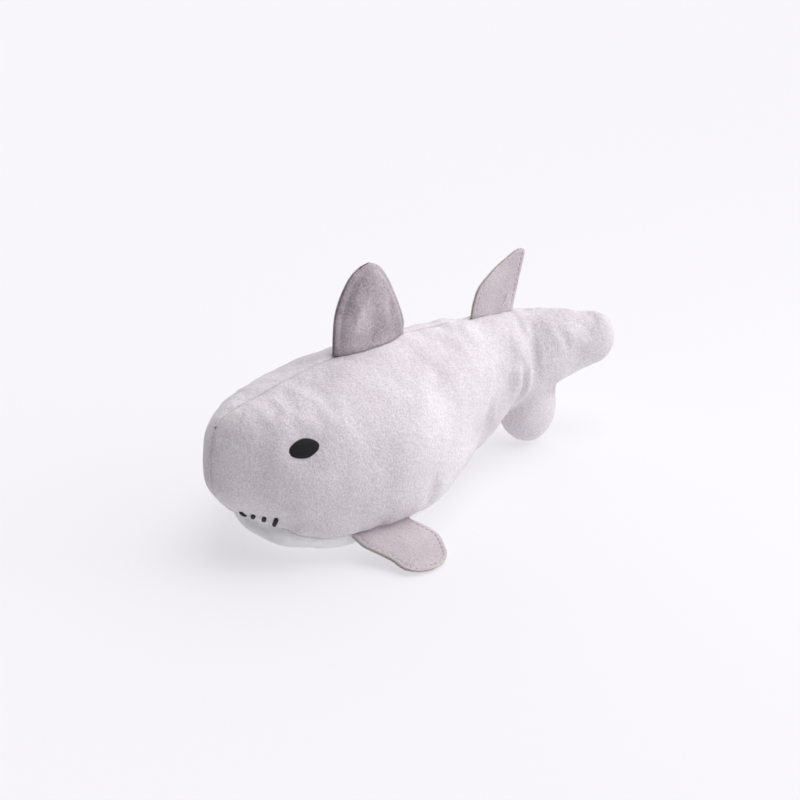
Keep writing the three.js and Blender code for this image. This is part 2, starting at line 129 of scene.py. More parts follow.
TOP_SQUARE = Profile((0, 2.7), (10, 2.5), (30, 2.15), (50, 2), (218, 2))
LOW_SQUARE = Profile((0, 2.7), (16, 2.8), (36, 3), (60, 3.1), (90, 2.7), (130, 2.2), (172, 2), (218, 2))
# How far each level of the front seam lies behind the most forward one.
FRONT = Profile((15, 20), (19, 14.9), (23, 10), (27.3, 5.8), (31.5, 2.6), (36.2, 0.5), (41, 0), (50, 0.2),
                (56, 1), (61, 2.4), (65.4, 4))
# The angle of the seam between side and belly, in degrees from the top of each section.
BELLY_SEAM = Profile((0, 180), (3, 166), (6.5, 155), (10, 146), (13.5, 138.5), (18, 130.5), (22, 127),
                     (28, 124), (36, 122), (48, 119.5), (78, 122), (94, 130), (110, 143), (124, 159),
                     (136, 180))
# The lower half of each section of the tail slants by this angle, so that the rows reach round the lobe.
SLANT = Profile((150, 0), (170, -11), (176, -15.6), (179, -14), (184, 3), (189, 16.7), (192.5, 23.6),
                (202, 14), (216, 0))
# The distances between the rows of the cloth.
ROW_STEP = Profile((0, 0.35), (8, 0.9), (25, 1.5), (155, 1.5), (172, 0.75), (200, 0.75), (212, 1.3),
                   (224, 0.9), (231, 0.25))


def material(name, build):
    """A new material with a Principled shader, which build finishes."""
    made = bpy.data.materials.new(name)
    made.use_nodes = True
    tree = made.node_tree
    shader = tree.nodes["Principled BSDF"]
    build(tree, shader)
    return made


def fed(tree, made, inputs):
    """A shader node with its inputs linked to sockets or set to values."""
    for key, value in inputs.items():
        if isinstance(value, bpy.types.NodeSocket):
            tree.links.new(value, made.inputs[key])
        else:
            made.inputs[key].default_value = value
    return made


def node(tree, kind, inputs=None, **settings):
    """A new shader node."""
    made = tree.nodes.new(kind)
    for key, value in settings.items():
        setattr(made, key, value)
    return fed(tree, made, inputs or {})


def linear(red, green, blue):
    """A colour from its values on a screen, 0 to 255."""
    def one(value):
        value /= 255
        return value / 12.92 if value <= 0.04045 else ((value + 0.055) / 1.055) ** 2.4
    return (one(red), one(green), one(blue), 1)


def ramp(tree, value, *stops):
    """A colour ramp through stops of (place, colour)."""
    made = node(tree, "ShaderNodeValToRGB", {"Fac": value})
    elements = made.color_ramp.elements
    while len(elements) < len(stops):
        elements.new(0.5)
    for element, (place, colour) in zip(elements, stops):
        element.position = place
        element.color = colour
    return made.outputs["Color"]


def pile(deep, usual, light, grain=1150, patches=28, height=0.0006):
    """Short-pile plush: fine grain in the pile, soft patches where the nap lies another way."""
    def build(tree, shader):
        place = node(tree, "ShaderNodeTexCoord").outputs["Object"]
        fine = node(tree, "ShaderNodeTexNoise",
                    {"Vector": place, "Scale": grain, "Detail": 3, "Roughness": 0.65})
        tufts = node(tree, "ShaderNodeTexNoise",
                     {"Vector": place, "Scale": grain / 3, "Detail": 2, "Roughness": 0.5})
        nap = node(tree, "ShaderNodeTexNoise",
                   {"Vector": place, "Scale": patches, "Detail": 3, "Roughness": 0.55, "Distortion": 0.4})
        grains = ramp(tree, fine.outputs["Fac"], (0.3, deep), (0.5, usual), (0.7, light))
        naps = ramp(tree, nap.outputs["Fac"], (0.32, deep), (0.5, usual), (0.68, light))
        both = node(tree, "ShaderNodeMix", {"Factor": 0.4, "A": grains, "B": naps}, data_type="RGBA")
        rise = node(tree, "ShaderNodeMath", {0: fine.outputs["Fac"], 1: tufts.outputs["Fac"]})
        bump = node(tree, "ShaderNodeBump",
                    {"Height": rise.outputs[0], "Strength": 0.6, "Distance": height})
        fed(tree, shader, {"Base Color": both.outputs["Result"], "Normal": bump.outputs["Normal"],
                           "Roughness": 0.9, "Specular IOR Level": 0.2, "Sheen Weight": 0.35,
                           "Sheen Roughness": 0.4, "Sheen Tint": (1, 1, 1, 1)})
    return build


def thread(dark, light, roughness):
    """Sewing thread with its twist across it."""
    def build(tree, shader):
        place = node(tree, "ShaderNodeTexCoord").outputs["Object"]
        twist = node(tree, "ShaderNodeTexNoise",
                     {"Vector": place, "Scale": 3200, "Detail": 2, "Roughness": 0.5})
        colours = ramp(tree, twist.outputs["Fac"], (0.35, dark), (0.7, light))
        bump = node(tree, "ShaderNodeBump",
                    {"Height": twist.outputs["Fac"], "Strength": 0.5, "Distance": 0.00008})
        fed(tree, shader, {"Base Color": colours, "Normal": bump.outputs["Normal"],
                           "Roughness": roughness, "Specular IOR Level": 0.35})
    return build


GREY = material("grey_plush", pile(linear(196, 187, 193), linear(221, 214, 219), linear(245, 241, 244)))
WHITE = material("white_plush", pile(linear(236, 236, 240), linear(248, 248, 250), linear(254, 254, 254)))
FIN_GREY = material("fin_plush", pile(linear(142, 131, 138), linear(177, 166, 172), linear(210, 202, 207),
                                      patches=60))
FLAT_GREY = material("flat_fin_plush", pile(linear(180, 169, 175), linear(203, 192, 197),
                                            linear(224, 215, 219), grain=1700, patches=70))
GROUND = material("ground_cloth", pile(linear(196, 186, 176), linear(224, 216, 206), linear(240, 235, 228),
                                       grain=2600, patches=300, height=0.00015))
BLACK = material("black_thread", thread(linear(7, 6, 8), linear(44, 42, 46), 0.5))
SEAM_THREAD = material("seam_thread", thread(linear(152, 141, 146), linear(186, 175, 180), 0.7))
WHITE_THREAD = material("loose_thread", thread(linear(225, 224, 226), linear(252, 252, 252), 0.6))
FIBRE = material("fibre", pile(linear(226, 224, 220), linear(240, 239, 236), linear(252, 252, 250),
                               grain=700, patches=120, height=0.0008))


def placed(name, data):
    """A new object in the scene."""
    made = bpy.data.objects.new(name, data)
    bpy.context.scene.collection.objects.link(made)
    return made


def aimed(*direction):
    """The rotation that points a camera or a lamp in a direction."""
    return Vector(direction).to_track_quat("-Z", "Y").to_euler()


def piece(name, points, faces, materials, body, slot, replaces=(), face_slots=None):
    """A mesh from points in millimetres, which rides on a body and stands for CAD nodes."""
    mesh = bpy.data.meshes.new(name)
    mesh.from_pydata([tuple(p) for p in np.asarray(points, float) * MM], [], [tuple(f) for f in faces])
    for each in materials:
        mesh.materials.append(each)
    if face_slots is not None:
        mesh.polygons.foreach_set("material_index", np.asarray(face_slots, np.int32))
    mesh.polygons.foreach_set("use_smooth", [True] * len(mesh.polygons))
    mesh.validate()
    mesh.update()
    made = placed(name, mesh)
    if body:
        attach(made, body)
    if replaces:
        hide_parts(*replaces)
    return made


def grid_faces(rows, columns, closed=False, first=0, turned=False):
    """Quads between rows of points; closed joins the last column to the first."""
    wrap = columns if closed else columns - 1
    faces = []
    for i in range(rows - 1):
        for j in range(wrap):
            a, b = first + i * columns + j, first + i * columns + (j + 1) % columns
            quad = (a, b, b + columns, a + columns)
            faces.append(quad[::-1] if turned else quad)
    return faces


def capped_faces(rows, columns):
    """The faces of a closed tube of points, with one face over each end."""
    last = (rows - 1) * columns
    caps = [tuple(range(columns))[::-1], tuple(range(last, last + columns))]
    return grid_faces(rows, columns, closed=True) + caps


def smooth_step(t):
    """From 0 to 1, level at both ends."""
    t = np.clip(t, 0, 1)
    return t * t * (3 - 2 * t)


def rotated(points, pivot, axis, angles):
    """Points turned about a line, each by its own angle in radians."""
    p = points - pivot
    c, s = np.cos(angles)[..., None], np.sin(angles)[..., None]
    along = (p @ axis)[..., None] * axis
    return pivot + p * c + np.cross(axis, p) * s + along * (1 - c)


TAIL_PIVOT = np.array(joints["tail_sway"]["pos_m"]) / MM
TAIL_AXIS = np.array(joints["tail_sway"]["axis"])
TAIL_AXIS /= np.linalg.norm(TAIL_AXIS)
TAIL_AHEAD = np.array([TAIL_AXIS[2], 0, -TAIL_AXIS[0]])


def bent(points):
    """The unbent form with its tail bent to where it lies at rest."""
    behind = -(points - TAIL_PIVOT) @ TAIL_AHEAD
    share = smooth_step((behind + BEND_AHEAD) / (BEND_AHEAD + BEND_BEHIND))
    return rotated(points, TAIL_PIVOT, TAIL_AXIS, -np.radians(TAIL_BEND) * share)


def tip_share(back):
    """How much of its full section the end of the upper lobe still has."""
    return np.sqrt(1 - np.clip((back - TAIL_END + TIP_ROUND) / TIP_ROUND, 0, 1) ** 2)


def lower_form(back, level):
    """The square of the half width of the lower half of body, tail and lobe, negative outside them."""
    power = LOW_SQUARE(back)
    tip = np.maximum(tip_share(back), 1e-6)
    depth = (WAIST(back) - level) / ((WAIST(back) - BOTTOM(back)) * tip)
    left = 1 - np.abs(depth) ** power
    body = (WIDTH(back) * tip) ** 2 * np.sign(left) * np.abs(left) ** (2 / power)
    ahead, up = LOBE["back"] - back, level - LOBE["level"]
    c, s = math.cos(math.radians(LOBE["lean"])), math.sin(math.radians(LOBE["lean"]))
    along, high = ahead * c - up * s, ahead * s + up * c
    lobe = LOBE["thick"] ** 2 * (1 - (along / LOBE["long"]) ** 2 - (high / LOBE["deep"]) ** 2)
    near = np.maximum(LOBE_FILLET - np.abs(body - lobe), 0) / LOBE_FILLET
    return np.maximum(body, lobe) + near ** 2 * LOBE_FILLET / 4


REACH = np.linspace(0, 60, 1201)


def floor_reach(back):
    """How far the outline lies under the waist, along the slanted line of each section."""
    back = np.asarray(back, float)
    slant = np.radians(SLANT(back))
    places = back[..., None] + np.sin(slant)[..., None] * REACH
    levels = WAIST(back)[..., None] - np.cos(slant)[..., None] * REACH
    form = lower_form(places, levels)
    outside = form <= 0
    outside[..., -1] = True
    first = np.maximum(np.argmax(outside, axis=-1), 1)[..., None]
    after = np.take_along_axis(form, first, -1)[..., 0]
    before = np.take_along_axis(form, first - 1, -1)[..., 0]
    part = np.clip(before / np.maximum(before - after, 1e-9), 0, 1)
    found = REACH[first[..., 0] - 1] + (REACH[1] - REACH[0]) * part
    whole = (WAIST(back) - BOTTOM(back)) * np.maximum(tip_share(back), 1e-6)
    return np.where(back < LOBE_START, whole, found)


def surface(back, angle, reach):
    """Points of the left half of the unbent form; angle runs from the top, 0, to the bottom, pi."""
    waist = WAIST(back)
    tip = tip_share(back)
    cosine, sine = np.abs(np.cos(angle)), np.abs(np.sin(angle))
    power = 2 / TOP_SQUARE(back)
    high = waist + (TOP(back) - waist) * tip * cosine ** power
    wide = WIDTH(back) * tip * sine ** power
    down = cosine ** (2 / LOW_SQUARE(back)) * reach
    slant = np.radians(SLANT(back))
    low_back, low_level = back + np.sin(slant) * down, waist - np.cos(slant) * down
    low_wide = np.sqrt(np.maximum(lower_form(low_back, low_level), 0))
    upper = angle < math.pi / 2
    at, level = np.where(upper, back, low_back), np.where(upper, high, low_level)
    ahead = NOSE_X - at - FRONT(level) * np.exp(-((at / FRONT_FADE) ** 2))
    return np.stack([ahead, np.where(upper, wide, low_wide), level], -1)


def section_grid(back, reach, angles):
    """Points of the left half of the unbent form, a row for each distance back."""
    return surface(back[:, None] + 0 * angles, angles, reach[:, None] + 0 * angles)


def belly_seam(back):
    """The angle of the seam of the belly; behind the belly's end the two sides meet at the bottom."""
    return np.minimum(np.radians(BELLY_SEAM(back)), math.pi)


def rows_of(first, last):
    """Distances behind the nose, spaced as ROW_STEP says, from first to last."""
    places = [first]
    while places[-1] < last:
        places.append(places[-1] + float(ROW_STEP(places[-1])))
    return first + (np.array(places) - first) * (last - first) / (places[-1] - first)


def even_angles(back, reach, low, high, columns):
    """Angles that divide each section evenly by length, closer together beside the seams."""
    share = np.linspace(0, 1, columns)
    wanted = share - 0.09 * np.sin(2 * math.pi * share)
    angles = np.empty((len(back), columns))
    for i, at in enumerate(back):
        tried = np.linspace(low[i], high[i], 240)
        line = surface(np.full(240, at), tried, np.full(240, reach[i]))
        steps = np.linalg.norm(np.diff(line, axis=0), axis=1)
        length = np.concatenate([[0], np.cumsum(steps)])
        if length[-1] < 1e-6:
            angles[i] = low[i] + (high[i] - low[i]) * wanted
        else:
            angles[i] = np.interp(wanted * length[-1], length, tried)
    return angles


def grid_normals(points):
    """Outward normals of a grid of points on the left half, rows going back and columns going down."""
    along = np.gradient(points, axis=0)
    around = np.gradient(points, axis=1)
    normals = np.cross(around, along)
    size = np.linalg.norm(normals, axis=-1, keepdims=True)
    return np.where(size > 1e-9, normals / np.maximum(size, 1e-9), np.array([1.0, 0, 0]))


def lumps(points, size, seed):
    """Smooth noise between about -1 and 1, with lumps of a size in millimetres."""
    flat = points.reshape(-1, 3) / size
    values = [noise.noise(Vector((p[0] + seed, p[1], p[2]))) for p in flat]
    return np.array(values).reshape(points.shape[:-1]) * 1.6


def line_distance(points, line):
    """The distance of each point from a line of points, and how far along it, from 0 to 1."""
    flat = points.reshape(-1, line.shape[1])
    best = np.full(len(flat), np.inf)
    along = np.zeros(len(flat))
    count = len(line) - 1
    for k in range(count):
        a, d = line[k], line[k + 1] - line[k]
        t = np.clip((flat - a) @ d / max(d @ d, 1e-9), 0, 1)
        away = np.linalg.norm(flat - a - t[:, None] * d, axis=1)
        nearer = away < best
        best = np.where(nearer, away, best)
        along = np.where(nearer, (k + t) / count, along)
    return best.reshape(points.shape[:-1]), along.reshape(points.shape[:-1])


# The simulation of the whole cloth, blown out a little by its stuffing.
SIM_ROWS = 74
SIM_COLUMNS = 24          # on each side
SIM_FRAMES = 16
SIM_HELD = 0.07           # radians beside each seam over which the cloth is held
SIM_CAP = 1.5             # the furthest that the stuffing pushes the cloth
SIM_START = 0.8           # how far the cloth starts under the full shape
SIM_SHRINK = -0.035       # below nought: the cloth is cut larger than the form, so it buckles a little
SWELL_FADE = 22           # distance over which the swell grows behind the nose, and weakens at the tail
SWELL_TAIL = 168          # where it starts to weaken
SWELL_LOST = 0.7          # how much of it the tail loses


def simulated():
    """Points round the unbent form and how far the stuffing pushes the cloth out or lets it in there."""
    share = np.linspace(0, 1, SIM_ROWS)
    back = 0.6 + (TAIL_END - 1.6) * (0.5 - 0.5 * np.cos(math.pi * share)) ** 0.92
    reach = floor_reach(back)
    half = np.linspace(0, math.pi, SIM_COLUMNS + 1)[None, :] + 0 * back[:, None]
    left = section_grid(back, reach, half)
    normal = grid_normals(left)
    ring = np.concatenate([left, left[:, -2:0:-1] * (1, -1, 1)], axis=1)
    out = np.concatenate([normal, normal[:, -2:0:-1] * (1, -1, 1)], axis=1)
    start = (ring - out * SIM_START).reshape(-1, 3)
    columns = 2 * SIM_COLUMNS
    faces = grid_faces(SIM_ROWS, columns, closed=True)
    first, last = len(start), len(start) + 1
    start = np.concatenate([start, [ring[0].mean(0), ring[-1].mean(0)]])
    end = (SIM_ROWS - 1) * columns
    for j in range(columns):
        k = (j + 1) % columns
        faces += [(first, k, j), (last, end + j, end + k)]
    mesh = bpy.data.meshes.new("simulated")
    mesh.from_pydata([tuple(p) for p in start * MM], [], faces)
    mesh.update()
    form = placed("simulated", mesh)
    held = form.vertex_groups.new(name="held")
    seam = belly_seam(back)
    turn = np.concatenate([half, half[:, -2:0:-1]], axis=1)
    near_seam = np.minimum(np.abs(turn), np.abs(turn - seam[:, None])) < SIM_HELD
    pinned = [int(k) for k in np.flatnonzero(near_seam.reshape(-1))] + [first, last]
    held.add(pinned + list(range(columns)), 1.0, "REPLACE")
    cloth = form.modifiers.new("Cloth", "CLOTH")
    settings = cloth.settings
    settings.quality = 7
    settings.mass = 0.15
    settings.tension_stiffness = 12
    settings.compression_stiffness = 8
    settings.shear_stiffness = 3
    settings.bending_stiffness = 0.15
    settings.use_pressure = True
    settings.uniform_pressure_force = 4
    settings.vertex_group_mass = "held"
    settings.pin_stiffness = 1
    settings.shrink_min = SIM_SHRINK
    settings.effector_weights.gravity = 0
    cloth.point_cache.frame_start = 1
    cloth.point_cache.frame_end = SIM_FRAMES
    for now in range(1, SIM_FRAMES + 1):
        bpy.context.scene.frame_set(now)
    graph = bpy.context.evaluated_depsgraph_get()
    result = form.evaluated_get(graph).to_mesh()
    after = np.empty(3 * len(start))
    result.vertices.foreach_get("co", after)
    moved = after.reshape(-1, 3)[:-2] / MM - ring.reshape(-1, 3)
    bpy.data.objects.remove(form)
    bpy.context.scene.frame_set(1)
    push = np.sum(moved * out.reshape(-1, 3), axis=1) + SIM_START / 2
    kept = 1 - SWELL_LOST * smooth_step((back - SWELL_TAIL) / SWELL_FADE)
    push *= np.repeat(smooth_step(back / SWELL_FADE) * kept, columns)
    return ring.reshape(-1, 3), SIM_CAP * np.tanh(push / SIM_CAP)


SWELL = simulated()


def swollen(points):
    """How far the simulated cloth lies outside the ideal form at each point."""
    if SWELL is None:
        return np.zeros(points.shape[:-1])
    places, push = SWELL
    tree = KDTree(len(places))
    for k, place in enumerate(places):
        tree.insert(place, k)
    tree.balance()
    flat = points.reshape(-1, 3)
    result = np.empty(len(flat))
    for k, place in enumerate(flat):
        near = tree.find_n(place, 5)
        weights = [1 / (distance + 0.6) ** 2 for _, _, distance in near]
        total = sum(weight * push[index] for weight, (_, index, _) in zip(weights, near))
        result[k] = total / sum(weights)
    return result.reshape(points.shape[:-1])


# Folds of the cloth, as (places, depth, width): places are (distance back, degrees from the top).
LEFT_FOLDS = [
    (((158, 136), (165, 131), (173, 124), (173, 106), (167, 84), (164, 66)), 1.9, 2.5),
    (((151, 62), (147, 75), (142, 85), (137, 97), (133, 108)), 1.1, 3.6),
    (((142, 44), (143, 57), (146, 68)), 0.6, 1.8),
    (((178, 60), (181, 80), (180, 100)), 0.8, 2.6),
    (((196, 54), (199, 70), (201, 88)), 0.7, 1.9),
]
RIGHT_FOLDS = [
    (((166, 60), (168, 90), (164, 118)), 0.6, 4.0),
    (((150, 70), (148, 95), (144, 110)), 0.5, 4.0),
]
# Dimples, as (distance back, degrees from the top, depth, size).
DIMPLES = [(26, 8, 0.7, 8), (45, 12, 0.7, 8), (76, 43, 0.9, 11), (98, 44, 0.7, 11), (126, 37, 0.7, 10),
           (44, 74, 0.4, 12), (214, 51, 0.6, 8), (1.5, 44, 0.9, 3.2)]


def folded(points, normals, folds):
    """Grooves along the folds, with a low roll of cloth beside each."""
    for places, depth, width in folds:
        spots = np.array(places, float)
        fine = np.linspace(0, len(spots) - 1, 25)
        backs = np.interp(fine, range(len(spots)), spots[:, 0])
        angles = np.radians(np.interp(fine, range(len(spots)), spots[:, 1]))
        away, along = line_distance(points, skin_point(backs, angles))
        fade = np.sin(math.pi * np.clip(along, 0.02, 0.98)) ** 0.7
        groove = np.exp(-((away / width) ** 2)) - 0.45 * np.exp(-(((away - 2.1 * width) / width) ** 2))
        points = points - normals * (depth * fade * groove)[..., None]
    return points


def skin_point(back, angle):
    """Points of the left half of the ideal skin."""
    back = np.asarray(back, float)
    return surface(back, np.asarray(angle, float) + 0 * back, floor_reach(back))


def skin_normal(back, angle):
    """Outward normals of the ideal skin."""
    step = 0.02
    along = skin_point(back + step, angle) - skin_point(np.maximum(back - step, 0), angle)
    around = skin_point(back, angle + step) - skin_point(back, angle - step)
    normal = np.cross(around, along)
    return normal / np.linalg.norm(normal, axis=-1, keepdims=True)


def over_skin(back, degrees, forward=0, up=0, rise=0):
    """Points over the skin of the left half, a few millimetres forward and up from a place on it."""
    step = 0.05
    angle = math.radians(degrees)
    here = skin_point([back], [angle])[0]
    normal = skin_normal(np.array([back]), np.array([angle]))[0]
    ahead = np.array([1.0, 0, 0]) - normal * normal[0]
    ahead /= np.linalg.norm(ahead)
    above = np.cross(ahead, normal)
    forward, up = np.broadcast_arrays(np.asarray(forward, float), np.asarray(up, float))
    backs, angles = back + 0 * forward, angle + 0 * forward
    for _ in range(6):
        now = skin_point(backs, angles)
        per_back = (skin_point(backs + step, angles) - now) / step
        per_angle = (skin_point(backs, angles + step) - now) / step
        short, low = forward - (now - here) @ ahead, up - (now - here) @ above
        a, b, c, d = per_back @ ahead, per_angle @ ahead, per_back @ above, per_angle @ above
        whole = a * d - b * c
        backs = np.maximum(backs + np.clip((short * d - low * b) / whole, -3, 3), 0.1)
        angles = angles + np.clip((low * a - short * c) / whole, -0.3, 0.3)
    return skin_point(backs, angles) + skin_normal(backs, angles) * np.asarray(rise)[..., None]


# Round the eye and the mouth the embroidery keeps the cloth flat: (middle, size).
CALM = ((over_skin(EYE["back"], EYE["angle"]), 8.5), (over_skin(*MOUTH), 8.0))
# Where the fins on the back are sewn on the cloth is calm too: (distance back, half length).
BACK_FINS = ((88, 21), (166, 16))
BACK_LEVEL = 50           # above this level, and within
BACK_WIDTH = 7            # this distance from the middle
# The depth of the grooves of the seams along the back, along the belly and down the front.
SIDE_GROOVES = (0.7, 0.9, 0.45)
BELLY_GROOVES = (0.9, 0, 0)


def cloth_panel(back, angles, reach, folds, grooves, side, seed):
    """The shaped grid of one panel on the left, before it is mirrored.

    grooves are the depths of the seams along its first column, its last column and its first row.
    """
    points = section_grid(back, reach, angles)
    normals = grid_normals(points)
    steps = np.linalg.norm(np.diff(points, axis=1), axis=-1)
    along = np.concatenate([np.zeros((len(back), 1)), np.cumsum(steps, axis=1)], axis=1)
    down = np.linalg.norm(np.diff(points, axis=0), axis=-1)
    behind = np.concatenate([np.zeros((1, angles.shape[1])), np.cumsum(down, axis=0)], axis=0)
    place = points * np.array([1, side, 1])
    out = 0.45 * lumps(place, 24, seed) + 0.22 * lumps(place, 9, seed + 7)
    for at, angle, depth, size in DIMPLES:
        centre = skin_point([at], np.radians([angle]))[0]
        out -= depth * np.exp(-((np.linalg.norm(points - centre, axis=-1) / size) ** 2))
    out += swollen(place)
    for centre, size in CALM:
        out *= 1 - 0.92 * np.exp(-((np.linalg.norm(points - centre, axis=-1) / size) ** 4))
    ripple = lumps(place, 4.5, seed + 13)
    root = np.exp(-((points[..., 1] / BACK_WIDTH) ** 2))
    for middle, half in BACK_FINS:
        near = root * np.exp(-(((back[:, None] - middle) / half) ** 4))
        out *= 1 - 0.85 * near * (points[..., 2] > BACK_LEVEL)
    for distance, depth in zip((along, along[:, -1:] - along, behind), grooves):
        if depth:
            out -= depth * np.exp(-((distance / SEAM_WIDTH) ** 2))
            out += 0.22 * ripple * np.exp(-((distance / 4.5) ** 2))
    points = points + normals * out[..., None]
    return folded(points, normals, folds), normals


def turned_in(points, normals, both):
    """The grid with its first column turned in, or both, as the seam allowance of the cloth is."""
    columns = [points[:, :1] - normals[:, :1] * depth for depth in (ALLOWANCE, ALLOWANCE / 2)]
    columns.append(points)
    if both:
        columns += [points[:, -1:] - normals[:, -1:] * depth for depth in (ALLOWANCE / 2, ALLOWANCE)]
    return np.concatenate(columns, axis=1)


def settled(points):
    """The cloth pressed flat where it would sink into the floor."""
    level = points[..., 2]
    points = points.copy()
    points[..., 2] = (level + np.sqrt(level ** 2 + FLOOR_SOFT ** 2)) / 2
    return points


def body_rows(last):
    """The rows of a panel from the front seam to where it ends."""
    back = rows_of(0, last)
    back[0] = ROW_END
    if last == TAIL_END:
        back[-1] = TAIL_END - ROW_END
    return back


def soft_body(made):
    """The piece, with its transform baked into its mesh."""
    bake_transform(made)


def side_panel(side, name):
    """One side of the shark, from the front seam to the end of the tail."""
    back = body_rows(TAIL_END)
    reach = floor_reach(back)
    angles = even_angles(back, reach, np.zeros(len(back)), belly_seam(back), SIDE_COLUMNS)
    folds, seed = (LEFT_FOLDS, 3) if side > 0 else (RIGHT_FOLDS, 41)
    points, normals = cloth_panel(back, angles, reach, folds, SIDE_GROOVES, side, seed)
    points[0, :, 1] = MEETING
    points = turned_in(points, normals, both=True)
    inner = points[:1] - np.array([ALLOWANCE, 0, 0])
    points = np.concatenate([inner, (inner + points[:1]) / 2, points])
    points[..., 1] = np.maximum(points[..., 1], MEETING)
    points = bent(settled(points * np.array([1, side, 1])))
    faces = grid_faces(*points.shape[:2], turned=side > 0)
    soft_body(piece(f"{name}_side_cloth", points.reshape(-1, 3), faces, [GREY], None, "grey_plush",
                    [f"{name}_side_panel", f"{name}_tail_panel"]))


def belly_panel():
    """The white belly, between the two side panels."""
    back = body_rows(BELLY_END)
    reach = floor_reach(back)
    angles = even_angles(back, reach, belly_seam(back), np.full(len(back), math.pi), BELLY_COLUMNS)
    points, normals = cloth_panel(back, angles, reach, [], BELLY_GROOVES, 1, 77)
    half = turned_in(points, normals, both=False)
    mirrored = half[:, ::-1] * np.array([1, -1, 1])
    whole = bent(settled(np.concatenate([half[:, :-1], mirrored], axis=1)))
    faces = grid_faces(*whole.shape[:2], turned=True)
    soft_body(piece("belly_cloth", whole.reshape(-1, 3), faces, [WHITE], None, "white_plush",
                    ["belly_panel"]))


for side, name in SIDES:
    side_panel(side, name)
belly_panel()


def thickened(made, thickness):
    """The cloth's own thickness, made into the mesh on its inner side."""
    solid = made.modifiers.new("thickness", "SOLIDIFY")
    solid.thickness = thickness * MM
    solid.offset = -1
    graph = bpy.context.evaluated_depsgraph_get()
    graph.update()
    made.data = bpy.data.meshes.new_from_object(made.evaluated_get(graph))
    made.modifiers.clear()


def tube(path, radius, sides):
    """Points and faces of a thread along a path, with closed ends."""
    path = np.asarray(path, float)
    along = np.gradient(path, axis=0)
    along /= np.maximum(np.linalg.norm(along, axis=1, keepdims=True), 1e-9)
    guide = np.array([0.31, 0.2, 0.93])
    across = np.cross(along, guide)
    across /= np.linalg.norm(across, axis=1, keepdims=True)
    other = np.cross(along, across)
    turns = 2 * math.pi * np.arange(sides) / sides
    taper = np.ones(len(path))
    taper[[0, -1]] = 0.55
    radii = np.asarray(radius) * taper
    rings = (path[:, None] + radii[:, None, None] * (np.cos(turns)[None, :, None] * across[:, None]
             + np.sin(turns)[None, :, None] * other[:, None]))
    return rings.reshape(-1, 3), capped_faces(len(path), sides)


def joined(parts):
    """One set of points and faces from several."""
    points, faces, count = [], [], 0
    for part_points, part_faces in parts:
        points.append(part_points)
        faces += [tuple(count + k for k in face) for face in part_faces]
        count += len(part_points)
    return np.concatenate(points), faces


def satin(back, degrees, side, wide, high, tilt, dome, across_width, name, node_name):
    """A patch of satin stitch: threads side by side over a little padding."""
    c, s = math.cos(math.radians(tilt)), math.sin(math.radians(tilt))
    span = high if across_width else wide
    count = max(int(round(span / (THREAD * THREAD_PITCH))), 4)
    threads = []
    for k in range(count):
        place = ((k + 0.5) / count - 0.5) * 2
        jitter = 0.05 * math.sin(12.9 * k + 4.1 * back) + 0.03 * math.sin(37.7 * k)
        if across_width:
            half = wide / 2 * (1 - abs(place) ** 6) ** 0.5 + jitter
            line = np.linspace(-half, half, 7)
            forward, up = line, place * high / 2 + 0.12 * line
        else:
            half = high / 2 * math.sqrt(max(1 - place ** 2, 0.02)) + 2 * jitter
            line = np.linspace(-half, half, 9)
            forward, up = place * wide / 2 - 0.05 * line, line
        fall = 1 - (line / half) ** 2
        round_off = math.sqrt(max(1 - place ** 2, 0.05))
        rise = 0.1 + dome * np.sqrt(np.maximum(fall, 0)) * round_off
        rise[[0, -1]] = -0.12
        path = over_skin(back, degrees, forward * c - up * s, forward * s + up * c, rise)
        threads.append(tube(path * (1, side, 1), THREAD * (0.55 + 0.04 * math.sin(9.7 * k)), 6))
    points, faces = joined(threads)
    piece(name, points, faces, [BLACK], "root", "black_thread", [node_name])


for side, name in SIDES:
    satin(EYE["back"], EYE["angle"], side, EYE["length"], EYE["height"], EYE["tilt"], 0.75, False,
          f"{name}_eye_satin", f"{name}_eye")
    for number, (back, degrees, length, tilt) in enumerate(BARS):
        satin(back, degrees, side, BAR_WIDTH, length, tilt, 0.5, True,
              f"{name}_mouth_bar_{number + 1}", f"{name}_mouth_stitch_{number + 1}")


def stuffing():
    """The fibre that fills body and tail, lumpy, under the cloth."""
    back = np.linspace(5, TAIL_END - 5, 70)
    half = np.linspace(0.02, math.pi - 0.02, 20)[None, :] + 0 * back[:, None]
    reach = floor_reach(back)
    left = section_grid(back, reach, half)
    left = left - grid_normals(left) * (FIBRE_DEPTH + 0.5 * lumps(left, 7, 90))[..., None]
    left[..., 1] = np.maximum(left[..., 1], 0.3)
    ring = np.concatenate([left, left[:, ::-1] * (1, -1, 1)], axis=1)
    ring[..., 2] = np.maximum(ring[..., 2], 2.4)
    faces = capped_faces(*ring.shape[:2])
    soft_body(piece("fibre_stuffing", bent(ring.reshape(-1, 3)), faces, [FIBRE], None, "fibre_filling",
                    ["body_stuffing", "tail_stuffing"]))


stuffing()

